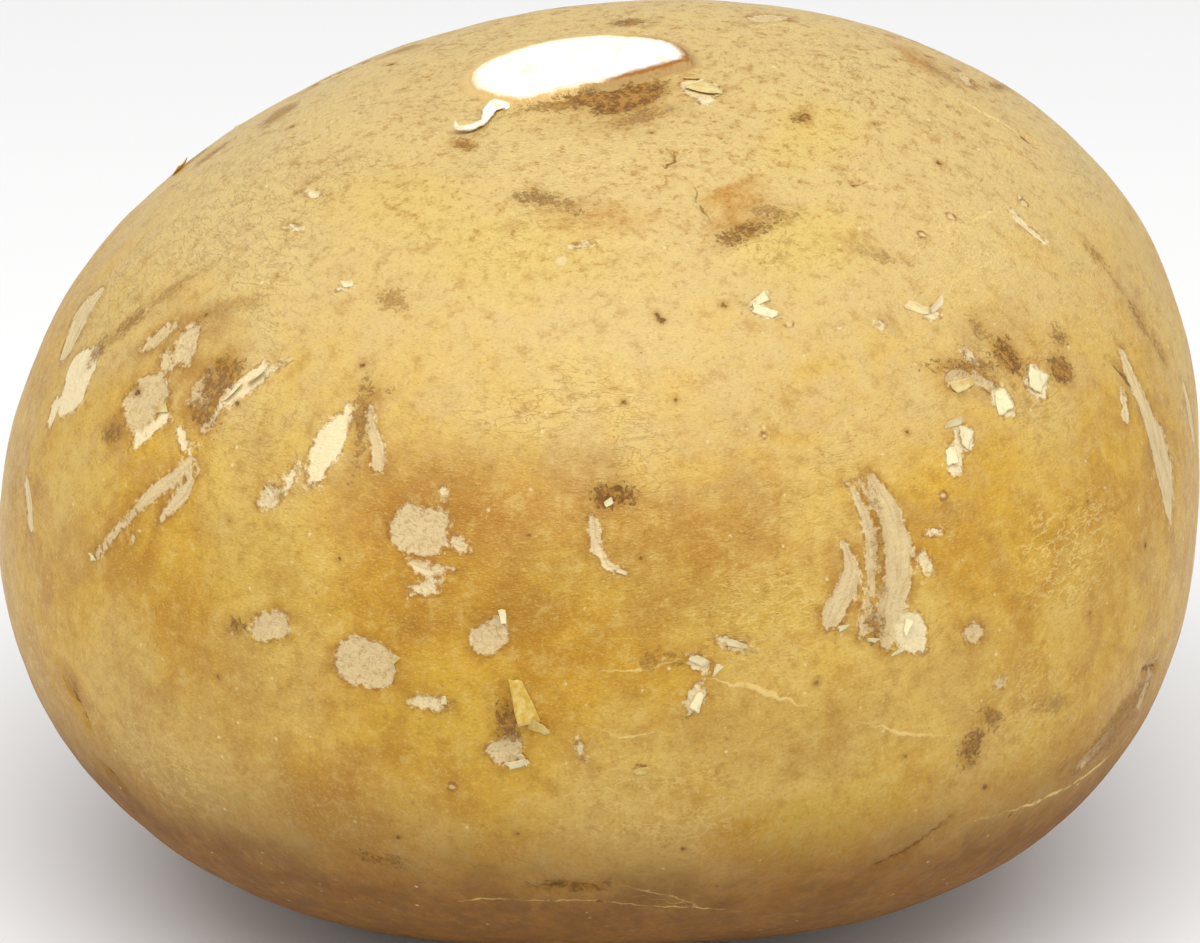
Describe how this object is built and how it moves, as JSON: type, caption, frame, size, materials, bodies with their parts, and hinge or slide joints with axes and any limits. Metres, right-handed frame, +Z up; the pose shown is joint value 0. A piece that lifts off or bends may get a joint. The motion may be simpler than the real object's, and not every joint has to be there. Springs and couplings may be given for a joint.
{
  "type": "jicama",
  "caption": "Whole round, slightly flattened jicama root with thin tan skin and a short trimmed stem stub, resting on a small flat spot.",
  "frame": {"origin": "middle of the small flat spot of the underside that the root rests on", "axes": "+Z up through the crown and its stem stub, -Y the front, +X to the right along the root's widest extent"},
  "size_m": [0.1383, 0.1332, 0.0996],
  "materials": {
    "skin": "thin dry root skin, golden tan and mottled, scuffed, with a soft waxy sheen; the trimmed stub shows moist white flesh"
  },
  "bodies": {
    "root": {"jicama": "skin"}
  },
  "joints": []
}
